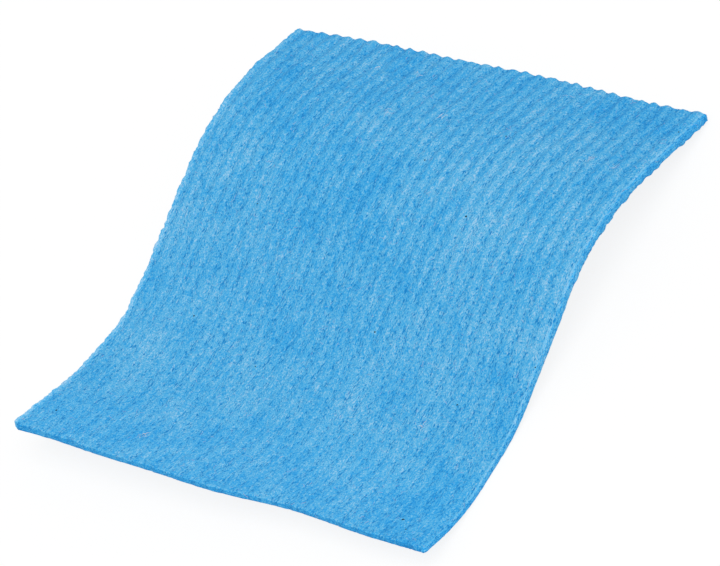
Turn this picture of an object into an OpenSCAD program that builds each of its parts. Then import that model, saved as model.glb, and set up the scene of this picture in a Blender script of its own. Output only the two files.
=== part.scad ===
// Sponge cloth: one sheet of blue cellulose sponge, ribbed along its length on the upper face
// and plain underneath. It lies as a dry, stiff cloth comes to rest. The near end is pressed
// thin and curls up, the hollow behind it bears on the table, the middle climbs over a low
// shoulder, and the tail comes down until its outer corner touches the table again.
//
// The sheet is cut flat, with u across the ribs and v along them. It is bent about lines that
// cross it at a small skew. The distance across those lines, q, runs through a chain of
// straights and arcs that gives the height and the slope of every point.

/* [Sheet] */
// Width of the flat sheet, across the ribs
cloth_w = 180; // [140:5:220]
// Length of the flat sheet, along the ribs
cloth_l = 200; // [190:5:240]
// Thickness between the ribs at the pressed near end
near_t = 2.3; // [1.6:0.1:3.6]
// Thickness between the ribs where the sheet is full
far_t = 3.5; // [2.4:0.1:5]
// Distance from the near end at which the sheet starts to fill out
press_from = 20; // [0:5:60]
// Length over which the sheet fills out
press_len = 100; // [40:5:140]

/* [Ribs] */
// Number of rib spaces across the width, even
rib_count = 32; // [24:2:36]
// Height of a rib at the pressed near end
near_rib = 0.3; // [0.1:0.1:0.6]
// Height of a rib where the sheet is full
far_rib = 0.9; // [0.5:0.1:1.4]
// Fullness of the rib's round top: 1 is a plain cosine, less is rounder with a narrower valley
rib_swell = 0.7; // [0.4:0.05:1.2]

/* [Cut edges] */
// Radius of the corners in plan
corner_r = 2; // [1.5:0.5:8]
// Rounding of the upper edge along the cuts
edge_r = 0.3; // [0.1:0.1:0.8]
// How far the near and far cuts stray from a straight line
wander = 0.8; // [0:0.1:1]

/* [Bend] */
// Angle between the bend lines and the near edge
bend_skew = 6.5; // [5:0.5:10]
// Length of the straight lip at the near end
lip_len = 18; // [10:1:24]
// Upward slope of the lip at the near end
lip_slope = 21; // [12:1:26]
// Radius of the hollow on either side of the seat
hollow_r = 72; // [60:1:80]
// Length that lies flat on the table in the hollow
seat_len = 12; // [12:1:16]
// Slope of the climb behind the hollow
ramp_slope = 16; // [12:1:18]
// Radius of the shoulder
shoulder_r = 90; // [70:1:100]
// Downward slope of the tail
tail_slope = 18.5; // [16:0.5:22]

/* [Hidden] */

cloth_blue = [0.27, 0.63, 0.86];

half_w = cloth_w / 2;
rib_pitch = cloth_w / rib_count;

// Columns of the upper face: crest, flank, valley and flank of each rib
rib_steps = [0, 0.3, 0.5, 0.7];
upper_u = [for (i = [0:rib_count - 1], f = rib_steps) (i + f) * rib_pitch - half_w, half_w];

// The underside is plain, so one of its columns spans two ribs
ribs_a_column = 2;
steps_a_column = ribs_a_column * len(rib_steps);
under_count = rib_count / ribs_a_column;
under_u = [for (k = [0:under_count]) k * ribs_a_column * rib_pitch - half_w];

// Rows along the sheet, closer together in the corners
row_step = 6.2;
corner_rows = [0, 0.35 * corner_r];
mid_len = cloth_l - 2 * corner_r;
mid_count = ceil(mid_len / row_step);
mid_rows = [for (i = [0:mid_count]) corner_r + i * mid_len / mid_count];
rows = concat(corner_rows, mid_rows, [for (i = [1:-1:0]) cloth_l - corner_rows[i]]);

upper_last = len(upper_u) - 1;
row_last = len(rows) - 1;

// ---- Outline of the cut sheet -------------------------------------------------------------

// Two long waves make the line that a blade takes through soft sponge
function near_cut(u) = wander * (sin(360 * (u - 12) / 105) + 0.5 * sin(360 * (u - 18) / 57));
function far_cut(u) = wander * (1.4 * cos(360 * (u + 18) / 175) + 0.8 * cos(360 * (u - 28) / 93));

// Distance along the sheet of a point on row v, with the strayed cuts shared out between them
function along(u, v) = v + near_cut(u) * (1 - v / cloth_l) + far_cut(u) * v / cloth_l;

// How far the round corners take the side edges in at row v
function corner_inset(v) =
    let (gap = max(0, corner_r - min(v, cloth_l - v)))
    corner_r - sqrt(corner_r * corner_r - gap * gap);

// Only the outermost rib gives way at a corner, so the others run straight to the cut
function across(u, v) =
    let (outer = max(0, abs(u) - half_w + rib_pitch) / rib_pitch)
    u - sign(u) * outer * corner_inset(v);

// ---- Thickness and ribs -------------------------------------------------------------------

function ease(x) = let (c = min(max(x, 0), 1)) c * c * (3 - 2 * c);
function between(near, far, v) = near + (far - near) * ease((v - press_from) / press_len);
function rib_height(u, v) =
    between(near_rib, far_rib, v) * pow(abs(cos(180 * (u + half_w) / rib_pitch)), rib_swell);
function is_rim(i, j) = i == 0 || i == row_last || j == 0 || j == upper_last;
function upper_height(i, j) =
    between(near_t, far_t, rows[i]) + rib_height(upper_u[j], rows[i]) - (is_rim(i, j) ? edge_r : 0);

// ---- Bend ---------------------------------------------------------------------------------

function arc_len(r, turn) = r * turn * PI / 180;

// q of the part of the far corner that reaches the table
touch_q = (half_w - corner_r) * sin(bend_skew)
    + (cloth_l + far_cut(half_w) - corner_r) * cos(bend_skew) + corner_r;

// The climb is as long as it takes for that corner to come down to the table exactly
arcs_len = arc_len(hollow_r, lip_slope + ramp_slope) + arc_len(shoulder_r, ramp_slope + tail_slope);
ramp_len = ((touch_q - lip_len - seat_len - arcs_len) * sin(tail_slope)
    - hollow_r * (1 - cos(ramp_slope)) + shoulder_r * (cos(ramp_slope) - cos(tail_slope)))
    / (sin(ramp_slope) + sin(tail_slope));

// Length and turn of each span, from the near end to the far end
spans = [
    [lip_len, 0],
    [arc_len(hollow_r, lip_slope), lip_slope],
    [seat_len, 0],
    [arc_len(hollow_r, ramp_slope), ramp_slope],
    [ramp_len, 0],
    [arc_len(shoulder_r, ramp_slope + tail_slope), -(ramp_slope + tail_slope)],
    [cloth_l, 0],
];

// [y, z, slope] after going a distance s along a span that starts at `from`
function walk(from, span, s) =
    let (turn = span[1] * s / span[0], slope = from[2] + turn)
    turn == 0
        ? [from[0] + s * cos(slope), from[1] + s * sin(slope), slope]
        : let (r = s * 180 / (turn * PI))
          [from[0] + r * (sin(slope) - sin(from[2])), from[1] + r * (cos(from[2]) - cos(slope)), slope];

function span_starts(from, i = 0) =
    i == len(spans) ? [] : concat([from], span_starts(walk(from, spans[i], spans[i][0]), i + 1));
function span_ends(q, i = 0) =
    i == len(spans) ? [] : concat([q + spans[i][0]], span_ends(q + spans[i][0], i + 1));

// The lip starts as high as the climb from the seat takes it, so the seat lies at z = 0
lip_height = lip_len * sin(lip_slope) + hollow_r * (1 - cos(lip_slope));
starts = span_starts([0, lip_height, -lip_slope]);
ends = span_ends(0);

// [y, z, slope] of the underside at q
function bend_at(q, i = 0) =
    q <= ends[i] || i == len(spans) - 1
        ? walk(starts[i], spans[i], q - ends[i] + spans[i][0])
        : bend_at(q, i + 1);

// Place in space of the point at u, v of the flat sheet, at height h over the underside
function bent(u, v, h) =
    let (
        p = u * cos(bend_skew) - v * sin(bend_skew),
        at = bend_at(u * sin(bend_skew) + v * cos(bend_skew)),
        y = at[0] - h * sin(at[2])
    )
    [p * cos(bend_skew) + y * sin(bend_skew), y * cos(bend_skew) - p * sin(bend_skew),
     at[1] + h * cos(at[2])];

function laid(u, v, h) = let (x = across(u, v)) bent(x, along(x, v), h);

// ---- Skin ---------------------------------------------------------------------------------

upper_points = [for (i = [0:row_last], j = [0:upper_last]) laid(upper_u[j], rows[i], upper_height(i, j))];
under_points = [for (v = rows, u = under_u) laid(u, v, 0)];

// The origin is under the middle of the sheet's box, on the table
function middle(values) = (min(values) + max(values)) / 2;
skin = concat(upper_points, under_points);
centre = [middle([for (p = skin) p[0]]), middle([for (p = skin) p[1]]), 0];

function up(i, j) = i * len(upper_u) + j;
function under(i, k) = len(upper_points) + i * len(under_u) + k;

upper_faces = [
    for (i = [0:row_last - 1], j = [0:upper_last - 1])
        each [[up(i, j), up(i + 1, j), up(i + 1, j + 1)], [up(i, j), up(i + 1, j + 1), up(i, j + 1)]]
];
under_faces = [
    for (i = [0:row_last - 1], k = [0:under_count - 1])
        each [[under(i, k), under(i, k + 1), under(i + 1, k + 1)],
              [under(i, k), under(i + 1, k + 1), under(i + 1, k)]]
];
side_faces = [
    for (i = [0:row_last - 1])
        each [[under(i + 1, 0), up(i + 1, 0), up(i, 0)],
              [under(i + 1, 0), up(i, 0), under(i, 0)],
              [under(i, under_count), up(i, upper_last), up(i + 1, upper_last)],
              [under(i, under_count), up(i + 1, upper_last), under(i + 1, under_count)]]
];

// Each column of the underside fans out to the finer columns above it, half from either corner
function cut_column(i, k) =
    let (first = k * steps_a_column, half = first + steps_a_column / 2)
    concat(
        [for (j = [first:half - 1]) [under(i, k), up(i, j), up(i, j + 1)]],
        [[under(i, k), up(i, half), under(i, k + 1)]],
        [for (j = [half:first + steps_a_column - 1]) [under(i, k + 1), up(i, j), up(i, j + 1)]]
    );
near_cut_faces = [for (k = [0:under_count - 1]) each cut_column(0, k)];
far_cut_faces = [
    for (k = [0:under_count - 1], face = cut_column(row_last, k)) [face[2], face[1], face[0]]
];

module sponge_cloth() {
    color(cloth_blue)
        translate(-centre)
            polyhedron(
                points = skin,
                faces = concat(upper_faces, under_faces, side_faces, near_cut_faces, far_cut_faces)
            );
}

sponge_cloth();
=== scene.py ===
"""Ribbed cellulose sponge cloth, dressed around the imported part.

The cloth is one sheet of sponge. It is cut flat, ribbed on the upper face, pressed thin at the near
end and bent about lines that cross it at a small skew. Loose fibres and a few dark flecks of plant
stuff are caught in its skin. It lies on a pale floor in soft light.

On the flat sheet, u runs across the ribs from the middle line, and v along them from the near cut.
Sizes are in millimetres and angles in degrees until they reach a mesh, a node or Blender's own
settings, which take metres and radians.
"""
import logging
import math
from dataclasses import dataclass, field
from enum import Enum

import bpy
import numpy as np
from mathutils import Matrix, Vector


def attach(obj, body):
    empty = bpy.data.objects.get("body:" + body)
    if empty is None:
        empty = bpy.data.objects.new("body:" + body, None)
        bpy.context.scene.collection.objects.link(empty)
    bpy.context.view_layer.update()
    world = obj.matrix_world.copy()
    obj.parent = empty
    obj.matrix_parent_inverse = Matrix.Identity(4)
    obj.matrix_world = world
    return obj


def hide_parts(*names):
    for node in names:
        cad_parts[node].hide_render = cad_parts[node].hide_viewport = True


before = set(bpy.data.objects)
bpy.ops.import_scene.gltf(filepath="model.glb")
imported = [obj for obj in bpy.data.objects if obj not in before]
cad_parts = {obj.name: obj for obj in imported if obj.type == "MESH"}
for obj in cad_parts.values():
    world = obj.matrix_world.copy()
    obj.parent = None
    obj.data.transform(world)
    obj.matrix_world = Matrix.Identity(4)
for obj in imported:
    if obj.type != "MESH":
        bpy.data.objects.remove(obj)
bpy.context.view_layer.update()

MM = 0.001
# A noise swings about this value, and it is the middle of the scale of dye
MIDDLE = 0.5
# Past this share of the sheet's height, a point is on the upper face
UPPER_SHARE = 0.99

Tree = bpy.types.NodeTree
Socket = bpy.types.NodeSocket
Object = bpy.types.Object
Material = bpy.types.Material

MATH = "ShaderNodeMath"
VECTOR_MATH = "ShaderNodeVectorMath"
MAP_RANGE = "ShaderNodeMapRange"
NOISE = "ShaderNodeTexNoise"
SEPARATE = "ShaderNodeSeparateXYZ"
COMBINE = "ShaderNodeCombineXYZ"
MESH_MARK = "GeometryNodeInputNamedAttribute"
PRINCIPLED = "ShaderNodeBsdfPrincipled"
OUTPUT = "ShaderNodeOutputMaterial"
SMOOTH = {"interpolation_type": "SMOOTHSTEP"}

log = logging.getLogger("sponge_cloth")


class Layer(Enum):
    """A ring of points round the cut edge, from the upper face down to the underside.

    The value is (share of the height, drop in edge radii, inset in edge radii).
    """

    SHOULDER = (1.0, 0.29, 0.29)
    RIM = (1.0, 1.0, 0.0)
    UPPER_CUT = (0.66, 0.4, 0.0)
    LOWER_CUT = (0.33, 0.0, 0.0)
    FOOT = (0.0, -0.4, 0.0)


@dataclass(frozen=True)
class Fade:
    """A change from one value to another while something else runs from start to end.

    Start and end are places in millimetres, unless the unit is 1.
    """

    start: float
    end: float
    first: float = 0.0
    last: float | Socket = 1.0
    unit: float = MM

    def over(self, value: Socket) -> dict[str, object]:
        """Gives the inputs of a node that draws this change over a value."""
        return {"Value": value, "From Min": self.start * self.unit, "From Max": self.end * self.unit,
                "To Min": self.first, "To Max": self.last}


def linear(hex_colour: str) -> tuple[float, float, float, float]:
    """Turns an sRGB hex colour into linear light.

    Args:
        hex_colour: the colour as "#rrggbb".

    Returns:
        Linear red, green, blue and an alpha of 1.
    """
    parts = [int(hex_colour[i:i + 2], 16) / 255 for i in (1, 3, 5)]
    return (*(c / 12.92 if c <= 0.04045 else ((c + 0.055) / 1.055) ** 2.4 for c in parts), 1.0)


def per(size_mm: float) -> float:
    """Gives the texture scale, in cells a metre, of a pattern whose cells are size_mm wide."""
    return 1 / (size_mm * MM)


def put(tree: Tree, kind: str, inputs: dict[str | int, object] | None = None,
        **settings: object) -> Socket | None:
    """Adds a node with its settings, values and links.

    Args:
        tree: the node tree to add to.
        kind: Blender's name for the kind of node.
        inputs: for each socket's identifier, name or number, a value, or the output that feeds it.
        settings: the node's own properties.

    Returns:
        The node's first output that is in use, or None if it has none.
    """
    node = tree.nodes.new(kind)
    for name, value in settings.items():
        setattr(node, name, value)
    marked = {s.identifier: s for s in node.inputs}
    for key, value in (inputs or {}).items():
        socket = marked[key] if key in marked else node.inputs[key]
        if isinstance(value, bpy.types.NodeSocket):
            tree.links.new(value, socket)
        else:
            socket.default_value = value
    return next((s for s in node.outputs if s.enabled), None)


def swing(tree: Tree, place: Socket, cell: float, detail: float = 1.0, roughness: float = 0.5) -> Socket:
    """Adds an even scatter of highs and lows that swings about zero.

    Args:
        tree: the node tree to add to.
        place: the place that it is drawn over, in metres.
        cell: width of its cells, in millimetres.
        detail: number of finer layers in it.
        roughness: strength of the finer layers.

    Returns:
        A value of about -0.5 to 0.5.
    """
    cells = put(tree, NOISE, {
        "Vector": place, "Scale": per(cell), "Detail": detail, "Roughness": roughness})
    return put(tree, MATH, {0: cells, 1: -MIDDLE}, operation="ADD")


def new_material(name: str) -> tuple[Material, Tree]:
    """Starts a material with no nodes in it.

    Args:
        name: the material's name.

    Returns:
        The material and its empty tree.
    """
    material = bpy.data.materials.new(name)
    material.use_nodes = True
    material.node_tree.nodes.clear()
    return material, material.node_tree


def set_stops(ramp: bpy.types.ColorRamp, stops: tuple[tuple[float, str], ...]) -> None:
    """Sets the stops of a scale of colours.

    Args:
        ramp: the scale, which starts with two stops.
        stops: the place and the sRGB hex colour of each stop, in order.
    """
    for spot, _ in stops[1:-1]:
        ramp.elements.new(spot)
    for element, (spot, colour) in zip(ramp.elements, stops):
        element.position = spot
        element.color = linear(colour)


def new_tree(name: str, sizes: dict[str, object]) -> tuple[Tree, dict[str, Socket]]:
    """Starts a Geometry Nodes tree with one named input for each size.

    Args:
        name: the tree's name.
        sizes: for each input's name, its value: a number, a vector or an object.

    Returns:
        The tree, and its inputs by name. The incoming mesh is "Geometry".
    """
    tree = bpy.data.node_groups.new(name, "GeometryNodeTree")
    tree.interface.new_socket("Geometry", in_out="INPUT", socket_type="NodeSocketGeometry")
    tree.interface.new_socket("Geometry", in_out="OUTPUT", socket_type="NodeSocketGeometry")
    kinds = ((bpy.types.Object, "NodeSocketObject"), (int, "NodeSocketInt"), (float, "NodeSocketFloat"),
             (tuple, "NodeSocketVector"))
    for label, value in sizes.items():
        kind = next(socket for held, socket in kinds if isinstance(value, held))
        tree.interface.new_socket(label, in_out="INPUT", socket_type=kind)
    given = tree.nodes.new("NodeGroupInput")
    return tree, {s.name: s for s in given.outputs if s.name}


def end_tree(tree: Tree, geometry: Socket, material: Material) -> None:
    """Ends a tree in real mesh with its material.

    Args:
        tree: the tree to end.
        geometry: the output that holds the finished shape.
        material: the finish of every face.
    """
    real = put(tree, "GeometryNodeRealizeInstances", {"Geometry": geometry})
    dressed = put(tree, "GeometryNodeSetMaterial", {"Geometry": real, "Material": material})
    put(tree, "NodeGroupOutput", {0: dressed})


def apply_tree(obj: Object, tree: Tree, sizes: dict[str, object], material: Material) -> None:
    """Runs a tree on an object and keeps the result as the object's plain mesh.

    Args:
        obj: the object that the tree starts from, which gets the new mesh.
        tree: the tree to run.
        sizes: the values of the tree's inputs, by name.
        material: the one material that the new mesh has.
    """
    modifier = obj.modifiers.new(tree.name, "NODES")
    modifier.node_group = tree
    for item in tree.interface.items_tree:
        if item.in_out == "INPUT" and item.name in sizes:
            modifier[item.identifier] = sizes[item.name]
    bpy.context.view_layer.update()
    ready = obj.evaluated_get(bpy.context.evaluated_depsgraph_get())
    mesh = bpy.data.meshes.new_from_object(ready)
    obj.modifiers.remove(modifier)
    old = obj.data
    obj.data = mesh
    bpy.data.meshes.remove(old)
    mesh.materials.clear()
    mesh.materials.append(material)
    mesh.polygons.foreach_set("material_index", np.zeros(len(mesh.polygons), np.int32))
    mesh.shade_smooth()


def add_object(name: str, data: bpy.types.ID) -> Object:
    """Adds an object at the origin, unturned and unscaled.

    Args:
        name: the object's name.
        data: its mesh, curve, lamp or camera.

    Returns:
        The object.
    """
    obj = bpy.data.objects.new(name, data)
    bpy.context.scene.collection.objects.link(obj)
    return obj


@dataclass(frozen=True)
class SkinPattern:
    """The pores, splits and crease of the sponge's skin, by one rule for both shape and colour, and the
    painted light across its ribs.

    A side says where on each rib a mark has its middle, as a share of the pitch from the crest. The
    finest pores and splits of the real stuff are too small to show, so they are drawn this coarse.
    """

    streak_w: float = 0.5
    streak_l: float = 1.8
    streak_from: float = 0.61
    streak_edge: float = 0.04
    pore: float = 0.8
    pore_from: float = 0.64
    pore_edge: float = 0.08
    hollow_side: float = 0.62
    hollow_wave: Fade = Fade(-0.7, 0.1, unit=1)
    rib_light_side: float = 0.27
    rib_light_down: float = 0.4
    rib_light_along: Fade = Fade(60, 150, 0.33, 1.0)
    rib_light_across: Fade = Fade(-20, 60, 1.0, 1.4)
    rib_light_patch: float = 3.0
    rib_light_drawn: tuple[float, float, float] = (1.0, 0.4, 1.0)
    rib_light_patches: Fade = Fade(0.3, 0.7, 0.2, 1.9, unit=1)
    crease_slope: float = 0.13
    crease_at: float = 70.5
    crease_w: float = 1.0
    crease_end: Fade = Fade(-60, -48, 1.0, 0.0)

    def streaks(self, tree: Tree, place: Socket, phase: Socket) -> Socket:
        """Adds the short dark splits that run along the ribs, in the valleys and up one flank.

        Args:
            tree: the tree of nodes to add to.
            place: flat place on the sheet, in metres.
            phase: distance across the ribs, in ribs, with a crest at each whole number.

        Returns:
            A share from 0, whole skin, to 1, in a split.
        """
        cell = (per(self.streak_w), per(self.streak_l), per(self.streak_w))
        stretched = put(tree, VECTOR_MATH, {0: place, 1: cell}, operation="MULTIPLY")
        highs = put(tree, NOISE, {"Vector": stretched, "Scale": 1.0, "Detail": 1.0})
        edge = Fade(self.streak_from, self.streak_from + self.streak_edge, unit=1)
        split = put(tree, MAP_RANGE, edge.over(highs), **SMOOTH)
        return put(tree, MATH, {0: split, 1: self.hollow(tree, phase)}, operation="MULTIPLY")

    def pores(self, tree: Tree, place: Socket) -> Socket:
        """Adds the round pores that lie anywhere on the skin.

        Args:
            tree: the tree of nodes to add to.
            place: flat place on the sheet, in metres.

        Returns:
            A share from 0, whole skin, to 1, in a pore.
        """
        highs = put(tree, NOISE, {"Vector": place, "Scale": per(self.pore), "Detail": 1.0})
        edge = Fade(self.pore_from, self.pore_from + self.pore_edge, unit=1)
        return put(tree, MAP_RANGE, edge.over(highs), **SMOOTH)

    def wave(self, tree: Tree, phase: Socket, side: float) -> Socket:
        """Adds a wave across the ribs.

        Args:
            tree: the tree of nodes to add to.
            phase: distance across the ribs, in ribs, with a crest at each whole number.
            side: place of the wave's top on each rib.

        Returns:
            A value from -1 to 1, its top.
        """
        turn = put(tree, MATH, {0: phase, 1: math.tau, 2: -math.tau * side}, operation="MULTIPLY_ADD")
        return put(tree, MATH, {0: turn}, operation="COSINE")

    def hollow(self, tree: Tree, phase: Socket) -> Socket:
        """Adds a share that is 1 from the valley up the rib's left flank, and 0 on the rest."""
        wave = self.wave(tree, phase, self.hollow_side)
        return put(tree, MAP_RANGE, self.hollow_wave.over(wave), **SMOOTH)

    def painted_rib_light(self, tree: Tree, place: Socket, phase: Socket) -> Socket:
        """Adds painted light across each rib: one flank is painted paler as a painted highlight, and the
        other deeper as painted shade.

        Args:
            tree: the tree of nodes to add to.
            place: flat place on the sheet, in metres.
            phase: distance across the ribs, in ribs, with a crest at each whole number.

        Returns:
            A share from about -0.4, the broad painted-shade side, to 0.6, the narrow painted-highlight side.
            It is less on low ribs and varies in patches.
        """
        # Squaring the wave's height makes the painted highlight the narrower side
        painted_light = put(tree, MATH, {0: self.wave(tree, phase, self.rib_light_side), 1: 0.5, 2: 0.5},
                   operation="MULTIPLY_ADD")
        painted_light = put(tree, MATH, {0: painted_light, 1: 2.0}, operation="POWER")
        painted_light = put(tree, MATH, {0: painted_light, 1: self.rib_light_down}, operation="SUBTRACT")
        across, along, _ = put(tree, SEPARATE, {0: place}).node.outputs
        drawn = put(tree, VECTOR_MATH, {0: place, 1: self.rib_light_drawn}, operation="MULTIPLY")
        patchy = put(tree, NOISE, {"Vector": drawn, "Scale": per(self.rib_light_patch), "Detail": 1.0})
        for value, change in ((along, self.rib_light_along), (across, self.rib_light_across),
                              (patchy, self.rib_light_patches)):
            share = put(tree, MAP_RANGE, change.over(value))
            painted_light = put(tree, MATH, {0: painted_light, 1: share}, operation="MULTIPLY")
        return painted_light

    def crease(self, tree: Tree, place: Socket) -> Socket:
        """Adds the faint crease that runs in from the left edge where the cloth was once folded.

        Args:
            tree: the tree of nodes to add to.
            place: flat place on the sheet, in metres.

        Returns:
            A share from 0, flat, to 1, in the crease.
        """
        u, v, _ = put(tree, SEPARATE, {0: place}).node.outputs
        away = put(tree, MATH, {0: u, 1: self.crease_slope, 2: v}, operation="MULTIPLY_ADD")
        away = put(tree, MATH, {0: away, 1: self.crease_at * MM}, operation="SUBTRACT")
        away = put(tree, MATH, {0: away}, operation="ABSOLUTE")
        line = put(tree, MAP_RANGE, Fade(0.0, self.crease_w, 1.0, 0.0).over(away), **SMOOTH)
        inner = put(tree, MAP_RANGE, self.crease_end.over(u), **SMOOTH)
        return put(tree, MATH, {0: line, 1: inner}, operation="MULTIPLY")


@dataclass(frozen=True)
class Speckle:
    """One layer of the dye's speckle, as cells of paler and deeper blue."""

    cell: float
    share: float
    along: float = 1.0
    detail: float = 2.0
    roughness: float = 0.5
    distortion: float = 0.0

    def draw(self, tree: Tree, place: Socket) -> Socket:
        """Adds the layer, with its cells drawn out along the ribs where "along" is below 1."""
        drawn = put(tree, VECTOR_MATH, {0: place, 1: (1.0, self.along, 1.0)}, operation="MULTIPLY")
        return put(tree, NOISE, {
            "Vector": drawn, "Scale": per(self.cell), "Detail": self.detail,
            "Roughness": self.roughness, "Distortion": self.distortion})


@dataclass(frozen=True)
class SpongeFinish:
    """Cellulose sponge, cast, dyed sky blue and dried with a felt-like skin of its own fibres.

    It is quite matt. Every pore and split is painted deeper, as painted shade, the felt is paler, and one
    flank of each rib is painted paler as a painted highlight, so the eye sees a fine speckle of blues with
    faint light lines along the ribs.
    """

    # Scale of colour, from the painted shade at the bottom of a pit through the body colour to raised felt
    # and painted highlight
    stops: tuple[tuple[float, str], ...] = (
        (0.0, "#1884CA"), (0.15, "#1E93DA"), (0.34, "#38A3DE"), (0.5, "#51ADDF"), (0.7, "#6AB8E2"),
        (0.95, "#9AC8E8"))
    grain: Speckle = Speckle(0.42, 1.62, along=0.6, roughness=0.55)
    felt: Speckle = Speckle(0.95, 0.9, along=0.32, roughness=0.6, distortion=0.5)
    cloud: Speckle = Speckle(16.0, 0.5)
    # How far each mark takes the tone along the scale of colour. The streaks, pores, crease, cut faces and
    # far end carry painted shade, the cut faces partly also the deeper blue of the open cut; the rib light,
    # rim, fringe, line, turned side and lip carry painted light, the rim, fringe and line partly also pale
    # fuzz
    shares: tuple[tuple[str, float], ...] = (
        ("painted_rib_light", 0.11), ("streaks", -0.75), ("pores", -0.38), ("crease", -0.12), ("cut_face", -0.2),
        ("rim", 0.08), ("fringe_and_edge_light", 0.24), ("line", 0.25), ("turned", -0.065), ("lip", -0.05),
        ("painted_far_shade", -0.07))
    # How much brighter the colour is painted where painted light falls: the side wall and rim on the right,
    # the pale line, the left edge and the near lip
    gains: tuple[tuple[str, float], ...] = (
        ("turned", 0.17), ("fringe_and_edge_light", 0.1), ("line", 0.1), ("lip", 0.07))
    # Broad patches of paler and deeper dye, each (u, v, radius, change of tone)
    patches: tuple[tuple[float, float, float, float], ...] = (
        (94, 8, 45, -0.09), (-15, 104, 52, -0.08), (36, 147, 46, 0.085), (-85, 125, 30, 0.03),
        (-72, 180, 34, 0.015), (46, 34, 32, 0.06), (-24, 86, 28, 0.05), (80, 136, 26, 0.05))
    patch_core: float = 0.25
    # Where each mark of an edge or an end comes in, and how it changes along the sheet; most of them are
    # painted light or painted shade. The painted highlight's place across is taken off, so it is below 0
    side: Fade = Fade(88, 89)
    highlight_at: Fade = Fade(40, 190, -89.6 * MM, -88.4 * MM)
    highlight_fade: Fade = Fade(0, 0.9, 1.0, 0.0)
    highlight_along: Fade = Fade(10, 60, 0.55, 1.0)
    highlight_calm: float = 0.6
    side_light_from: Fade = Fade(0.3, 0.9)
    fringe_light_from: Fade = Fade(-86.8, -89.9)
    fringe_light_along: Fade = Fade(60, 160, 1.0, 0.4)
    lip_along: Fade = Fade(50, 10)
    far_shade_along: Fade = Fade(110, 190, -0.3, 1.0)
    bump: float = 0.1
    bump_strength: float = 0.9
    split_depth: float = -0.7
    pore_depth: float = -0.6
    roughness: float = 0.95
    specular: float = 0.12
    sheen: float = 0.04
    sheen_roughness: float = 0.6

    def edges(self, tree: Tree, place: Socket) -> dict[str, Socket]:
        """Adds the marks that belong to an edge or an end of the sheet, which are mostly painted light and
        painted shade.

        Args:
            tree: the tree of nodes to add to.
            place: flat place on the sheet, in metres.

        Returns:
            A share for each mark by name, which is 1 where the mark is full.
        """
        # The rounded upper edge, the rim, is painted paler: partly its pale fuzz, partly a painted highlight
        # against the shade of its turned-down faces
        wall, rim = (put(tree, "ShaderNodeAttribute", attribute_name=name).node.outputs["Fac"]
                     for name in ("wall", "rim"))
        across, along, _ = put(tree, SEPARATE, {0: place}).node.outputs
        outer = put(tree, MATH, {0: across}, operation="ABSOLUTE")
        side = put(tree, MAP_RANGE, self.side.over(outer))
        side_face = put(tree, MATH, {0: wall, 1: side}, operation="MULTIPLY")
        # The cut faces at the two ends are painted deeper: partly the deeper blue of the open cut, partly
        # painted shade
        cut_face = put(tree, MATH, {0: wall, 1: side_face}, operation="SUBTRACT")

        # The pale line is a painted highlight on the right rim, partly its pale fuzz. The rim is rounder
        # where the sheet is full, so the line lies further in there
        highlight_at = put(tree, MAP_RANGE, self.highlight_at.over(along))
        past = put(tree, MATH, {0: across, 1: highlight_at}, operation="ADD")
        # Right of the pale line and on the side walls the colour is painted brighter and a clearer blue, as
        # painted light on the faces toward the lamp
        turned = put(tree, MAP_RANGE, self.side_light_from.over(past))
        turned = put(tree, MATH, {0: turned, 1: side_face}, operation="MAXIMUM")
        away = put(tree, MATH, {0: past}, operation="ABSOLUTE")
        line = put(tree, MAP_RANGE, self.highlight_fade.over(away), **SMOOTH)
        on_wall = put(tree, MATH, {0: line, 1: wall}, operation="MULTIPLY")
        line = put(tree, MATH, {0: line, 1: on_wall}, operation="SUBTRACT")
        fuller = put(tree, MAP_RANGE, self.highlight_along.over(along))
        line = put(tree, MATH, {0: line, 1: fuller}, operation="MULTIPLY")

        # The left edge is painted pale, most of all at the near end: partly its frayed pale fuzz, partly
        # painted light over the shaded flank of the outer rib
        fringe_and_edge_light = put(tree, MAP_RANGE, self.fringe_light_from.over(across), **SMOOTH)
        frayed = put(tree, MAP_RANGE, self.fringe_light_along.over(along))
        fringe_and_edge_light = put(tree, MATH, {0: fringe_and_edge_light, 1: frayed}, operation="MULTIPLY")

        # The lip is pressed flat; it is painted brighter and a clearer blue as painted light, and the far
        # end is painted a little deeper as painted shade
        lip, painted_far_shade = (put(tree, MAP_RANGE, change.over(along), **SMOOTH)
                       for change in (self.lip_along, self.far_shade_along))
        return {"cut_face": cut_face, "rim": rim, "fringe_and_edge_light": fringe_and_edge_light, "line": line, "turned": turned,
                "lip": lip, "painted_far_shade": painted_far_shade}

    def build(self, pattern: SkinPattern) -> Material:
        """Builds the material.

        Args:
            pattern: the rule for pores and splits, the same as for the shape.

        Returns:
            The node material.
        """
        material, tree = new_material("cellulose_sponge_sky_blue")
        place = put(tree, "ShaderNodeAttribute", attribute_name="flat_place").node.outputs["Vector"]
        phase = put(tree, "ShaderNodeAttribute", attribute_name="rib_phase").node.outputs["Fac"]
        marks = self.edges(tree, place)
        marks["painted_rib_light"] = pattern.painted_rib_light(tree, place, phase)
        # The splits and pores are painted deeper, as painted shade in them, on top of their dents in the
        # shape
        marks["streaks"] = pattern.streaks(tree, place, phase)
        marks["pores"] = pattern.pores(tree, place)
        # The crease is painted darker, as painted shade in its groove
        marks["crease"] = pattern.crease(tree, place)

        tone: float | Socket = MIDDLE
        layers = []
        for speckle in (self.grain, self.felt, self.cloud):
            layers.append(speckle.draw(tree, place))
            swung = put(tree, MATH, {0: layers[-1], 1: -MIDDLE}, operation="ADD")
            tone = put(tree, MATH, {0: swung, 1: speckle.share, 2: tone}, operation="MULTIPLY_ADD")
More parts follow.
